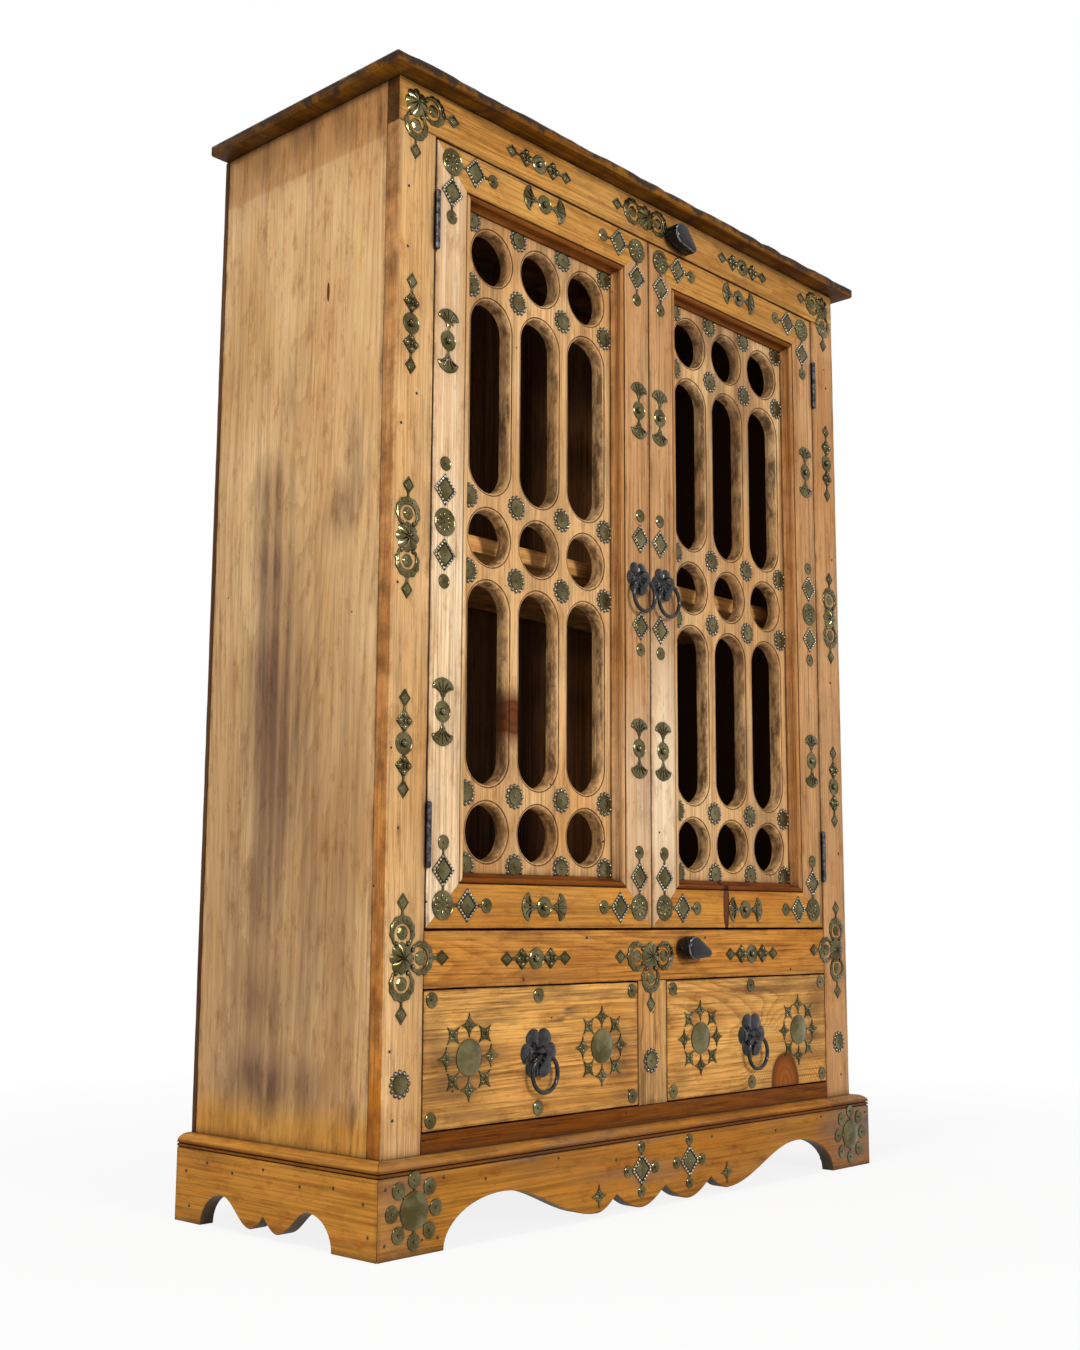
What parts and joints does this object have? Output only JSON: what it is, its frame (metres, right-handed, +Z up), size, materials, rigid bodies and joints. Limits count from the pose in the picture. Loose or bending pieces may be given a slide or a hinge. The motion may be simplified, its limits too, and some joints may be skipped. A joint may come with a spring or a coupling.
{
  "type": "bookcase",
  "caption": "Pine bookcase with grilled doors on butt hinges, a shelf, drawers with ring pulls, turn buttons, an overhanging top and a scalloped plinth.",
  "frame": {"origin": "on the floor, in the middle of the outer box", "axes": "+Z up, -Y out of the doors, +X to the right seen from the front"},
  "size_m": [1.21, 0.451, 1.6703],
  "materials": {
    "honey_pine": "waxed, worn",
    "inner_pine": "dull, unfinished",
    "wrought_iron": "black, worn",
    "dark_hardwood": "polished",
    "brass_trim": "aged, pressed"
  },
  "bodies": {
    "carcass": {"back_panel": "inner_pine", "bottom_rail": "honey_pine", "cornice_board": "honey_pine", "cupboard_floor": "inner_pine", "drawer_deck": "inner_pine", "drawer_divider": "honey_pine", "left_drawer_guide": "inner_pine", "left_front_stile": "honey_pine", "left_lower_hinge_frame_leaf": "wrought_iron", "left_lower_hinge_pin": "wrought_iron", "left_side_panel": "honey_pine", "left_upper_hinge_frame_leaf": "wrought_iron", "left_upper_hinge_pin": "wrought_iron", "middle_rail": "honey_pine", "plinth_front": "honey_pine", "plinth_left": "honey_pine", "plinth_right": "honey_pine", "right_drawer_guide": "inner_pine", "right_front_stile": "honey_pine", "right_lower_hinge_frame_leaf": "wrought_iron", "right_lower_hinge_pin": "wrought_iron", "right_side_panel": "honey_pine", "right_upper_hinge_frame_leaf": "wrought_iron", "right_upper_hinge_pin": "wrought_iron", "shelf": "inner_pine", "top_rail": "honey_pine"},
    "left_door": {"left_door_bottom_rail": "honey_pine", "left_door_grille": "honey_pine", "left_door_hinge_stile": "honey_pine", "left_door_meeting_stile": "honey_pine", "left_door_pull_rosette": "wrought_iron", "left_door_top_rail": "honey_pine", "left_lower_hinge_door_leaf": "wrought_iron", "left_upper_hinge_door_leaf": "wrought_iron"},
    "right_door": {"right_door_bottom_rail": "honey_pine", "right_door_grille": "honey_pine", "right_door_hinge_stile": "honey_pine", "right_door_meeting_stile": "honey_pine", "right_door_pull_rosette": "wrought_iron", "right_door_top_rail": "honey_pine", "right_lower_hinge_door_leaf": "wrought_iron", "right_upper_hinge_door_leaf": "wrought_iron"},
    "left_drawer": {"left_drawer_back": "inner_pine", "left_drawer_bottom": "inner_pine", "left_drawer_front": "honey_pine", "left_drawer_left_side": "inner_pine", "left_drawer_pull_rosette": "wrought_iron", "left_drawer_right_side": "inner_pine"},
    "right_drawer": {"right_drawer_back": "inner_pine", "right_drawer_bottom": "inner_pine", "right_drawer_front": "honey_pine", "right_drawer_left_side": "inner_pine", "right_drawer_pull_rosette": "wrought_iron", "right_drawer_right_side": "inner_pine"},
    "left_door_ring": {"left_door_pull_ring": "wrought_iron"},
    "right_door_ring": {"right_door_pull_ring": "wrought_iron"},
    "left_drawer_ring": {"left_drawer_pull_ring": "wrought_iron"},
    "right_drawer_ring": {"right_drawer_pull_ring": "wrought_iron"},
    "top_button": {"top_turn_button": "dark_hardwood"},
    "bottom_button": {"bottom_turn_button": "dark_hardwood"}
  },
  "joints": [
    {"name": "left_door_swing", "type": "hinge", "parent": "carcass", "child": "left_door", "pos_m": [-0.4985, -0.1983, 1.0025], "axis": [0, 0, -1], "range_deg": [0, 165]},
    {"name": "left_drawer_slide", "type": "slide", "parent": "carcass", "child": "left_drawer", "axis": [0, -1, 0], "range_m": [0, 0.26]},
    {"name": "left_door_ring_swing", "type": "hinge", "parent": "left_door", "child": "left_door_ring", "pos_m": [-0.0325, -0.2075, 0.9872], "axis": [-1, 0, 0], "range_deg": [0, 160]},
    {"name": "left_drawer_ring_swing", "type": "hinge", "parent": "left_drawer", "child": "left_drawer_ring", "pos_m": [-0.26775, -0.2075, 0.2422], "axis": [-1, 0, 0], "range_deg": [0, 160]},
    {"name": "right_door_swing", "type": "hinge", "parent": "carcass", "child": "right_door", "pos_m": [0.4985, -0.1983, 1.0025], "axis": [0, 0, 1], "range_deg": [0, 165]},
    {"name": "right_drawer_slide", "type": "slide", "parent": "carcass", "child": "right_drawer", "axis": [0, -1, 0], "range_m": [0, 0.26]},
    {"name": "right_door_ring_swing", "type": "hinge", "parent": "right_door", "child": "right_door_ring", "pos_m": [0.0325, -0.2075, 0.9872], "axis": [-1, 0, 0], "range_deg": [0, 160]},
    {"name": "right_drawer_ring_swing", "type": "hinge", "parent": "right_drawer", "child": "right_drawer_ring", "pos_m": [0.26775, -0.2075, 0.2422], "axis": [-1, 0, 0], "range_deg": [0, 160]},
    {"name": "top_button_turn", "type": "hinge", "parent": "carcass", "child": "top_button", "pos_m": [0.06, -0.1935, 1.608], "axis": [0, 1, 0], "range_deg": [0, 60]},
    {"name": "bottom_button_turn", "type": "hinge", "parent": "carcass", "child": "bottom_button", "pos_m": [0.078, -0.1935, 0.392], "axis": [0, -1, 0], "range_deg": [0, 103]}
  ]
}
